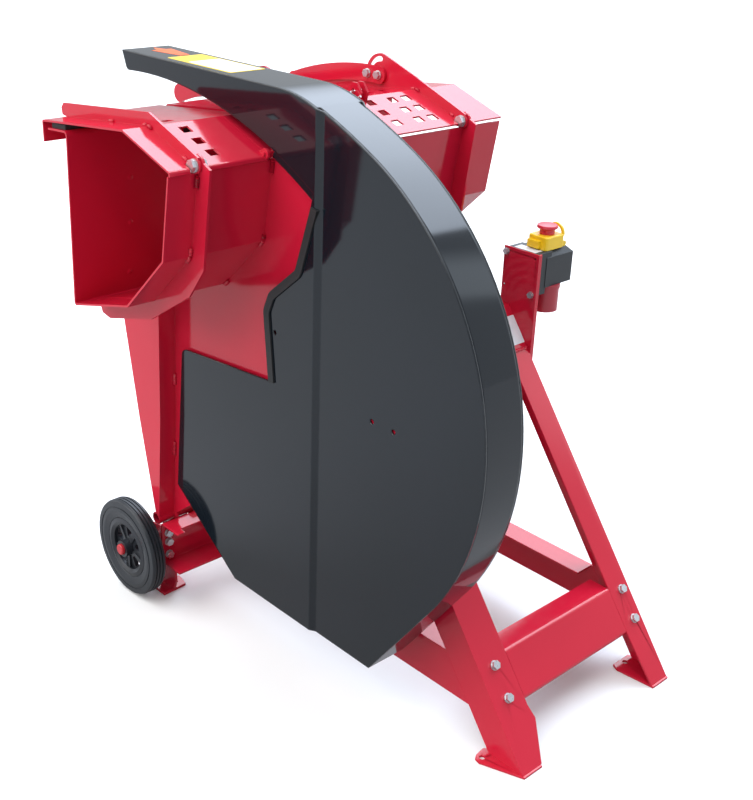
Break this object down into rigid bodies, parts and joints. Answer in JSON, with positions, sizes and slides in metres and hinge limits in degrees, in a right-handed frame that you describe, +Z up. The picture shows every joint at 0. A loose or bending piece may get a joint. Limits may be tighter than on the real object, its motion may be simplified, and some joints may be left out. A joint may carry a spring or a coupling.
{
  "type": "firewood saw",
  "caption": "Rocking firewood saw: covered log trough swings about a wheeled frame into a guarded circular blade driven by a side motor.",
  "frame": {"origin": "on the floor under the middle of the machine's bounding box", "axes": "+X along the blade's arbor, away from the motor; +Y from the operator's side towards the back of the blade; +Z up"},
  "size_m": [0.766, 0.943, 0.992],
  "materials": {
    "red_paint": "gloss red powder coat",
    "shield_red": "gloss red powder coat",
    "black_paint": "gloss black powder coat",
    "zinc_steel": "bright zinc plated",
    "blade_steel": "ground tool steel",
    "turned_steel": "turned steel",
    "motor_alloy": "painted grey casting",
    "cowl_grey": "satin grey paint",
    "fan_plastic": "moulded black plastic",
    "edging_rubber": "black extruded rubber",
    "tyre_rubber": "black solid rubber",
    "wheel_plastic": "moulded black plastic",
    "cap_red": "moulded red plastic",
    "switch_black": "moulded black plastic",
    "lid_yellow": "moulded yellow plastic",
    "button_red": "moulded red plastic",
    "inlet_red": "moulded red plastic",
    "button_green": "moulded green plastic"
  },
  "bodies": {
    "frame": {"base_beam": "red_paint", "axle_brackets": "red_paint", "axle": "zinc_steel", "pivot_brackets": "red_paint", "front_side_beam": "red_paint", "rear_side_beam": "red_paint", "front_leg": "red_paint", "rear_leg": "red_paint", "leg_feet": "red_paint", "leg_cross_beam": "red_paint", "frame_bolts": "zinc_steel", "motor_plate": "red_paint", "motor_housing": "motor_alloy", "motor_stator": "turned_steel", "motor_bearings": "turned_steel", "motor_fan_cowl": "cowl_grey", "motor_terminal_box": "fan_plastic", "guard_front_sheet": "black_paint", "guard_rear_sheet": "black_paint", "guard_rim": "black_paint", "guard_edging": "edging_rubber", "guard_studs": "zinc_steel", "switch_bracket": "red_paint", "switch_box": "switch_black", "switch_inlet": "inlet_red", "bracket_screws": "zinc_steel", "left_cap": "cap_red", "right_cap": "cap_red"},
    "spindle": {"saw_blade": "blade_steel", "blade_flanges": "turned_steel", "arbor_shaft": "turned_steel", "arbor_nut": "turned_steel", "motor_rotor": "turned_steel", "motor_fan": "fan_plastic"},
    "rocker": {"pivot_tube": "red_paint", "left_post": "red_paint", "right_post": "red_paint", "left_side_plate": "red_paint", "right_side_plate": "red_paint", "left_blade_shield": "shield_red", "right_blade_shield": "shield_red", "left_trough": "red_paint", "right_trough": "red_paint", "cover_seals": "edging_rubber", "hinge_bolts": "zinc_steel"},
    "left_lid": {"left_cover": "red_paint"},
    "right_lid": {"right_cover": "red_paint", "lug_hook": "zinc_steel"},
    "handle": {"handle_outer_arm": "red_paint", "handle_inner_arm": "red_paint", "handle_tube": "red_paint", "handle_bolts": "zinc_steel"},
    "left_wheel": {"left_tyre": "tyre_rubber", "left_rim": "wheel_plastic"},
    "right_wheel": {"right_tyre": "tyre_rubber", "right_rim": "wheel_plastic"},
    "switch_flap": {"switch_lid": "lid_yellow"},
    "stop_push": {"stop_button": "button_red"},
    "start_push": {"start_button": "button_green"}
  },
  "joints": [
    {"name": "rocker_swing", "type": "hinge", "parent": "frame", "child": "rocker", "pos_m": [0.013, -0.3265, 0.16], "axis": [1, 0, 0], "range_deg": [0, 27]},
    {"name": "left_cover_hinge", "type": "hinge", "parent": "rocker", "child": "left_lid", "pos_m": [0.335, -0.0245, 0.895], "axis": [-1, 0, 0], "range_deg": [0, 85]},
    {"name": "right_cover_hinge", "type": "hinge", "parent": "rocker", "child": "right_lid", "pos_m": [-0.206, -0.0245, 0.895], "axis": [-1, 0, 0], "range_deg": [0, 85]},
    {"name": "handle_fold", "type": "hinge", "parent": "right_lid", "child": "handle", "pos_m": [-0.067, -0.2235, 0.942], "axis": [-1, 0, 0], "range_deg": [0, 90]},
    {"name": "blade_spin", "type": "hinge", "parent": "frame", "child": "spindle", "pos_m": [0.163, -0.0085, 0.542], "axis": [1, 0, 0], "continuous": true},
    {"name": "left_wheel_spin", "type": "hinge", "parent": "frame", "child": "left_wheel", "pos_m": [0.266, -0.3645, 0.0965], "axis": [1, 0, 0], "continuous": true},
    {"name": "right_wheel_spin", "type": "hinge", "parent": "frame", "child": "right_wheel", "pos_m": [-0.346, -0.3645, 0.0965], "axis": [1, 0, 0], "continuous": true},
    {"name": "switch_flap_hinge", "type": "hinge", "parent": "frame", "child": "switch_flap", "pos_m": [-0.362, 0.073, 0.6826], "axis": [0, -1, 0], "range_deg": [0, 100]},
    {"name": "stop_button_push", "type": "slide", "parent": "switch_flap", "child": "stop_push", "axis": [0, 0, -1], "range_m": [0, 0.005], "stiffness_N_per_m": 600},
    {"name": "start_button_push", "type": "slide", "parent": "frame", "child": "start_push", "axis": [0, 0, -1], "range_m": [0, 0.004], "stiffness_N_per_m": 300}
  ]
}
